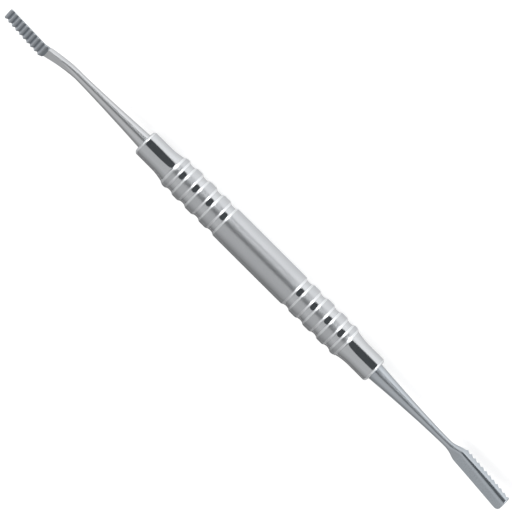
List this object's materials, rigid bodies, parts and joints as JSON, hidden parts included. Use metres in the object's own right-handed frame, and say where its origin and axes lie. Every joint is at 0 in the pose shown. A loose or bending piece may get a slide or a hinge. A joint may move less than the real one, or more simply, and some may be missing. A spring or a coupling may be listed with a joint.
{
  "type": "bone file",
  "caption": "Double-ended bone file: a slim turned handle with grooved ends, a short half-round file on a raised neck at one end and a longer flat file blade at the other.",
  "frame": {"origin": "middle of the handle, on the handle's axis", "axes": "+X along the handle's axis, towards the narrow file; +Z towards the side on which the narrow file cuts; the broad file cuts on the -Z side; the XZ plane is the plane of symmetry"},
  "size_m": [0.18, 0.0094, 0.0094],
  "materials": {
    "handle_steel": "satin, with polished grooves and collars",
    "narrow_steel": "polished shank, ground teeth",
    "broad_steel": "polished shank, satin back, ground teeth"
  },
  "bodies": {
    "root": {"handle": "handle_steel", "narrow_file": "narrow_steel", "broad_file": "broad_steel"}
  },
  "joints": []
}
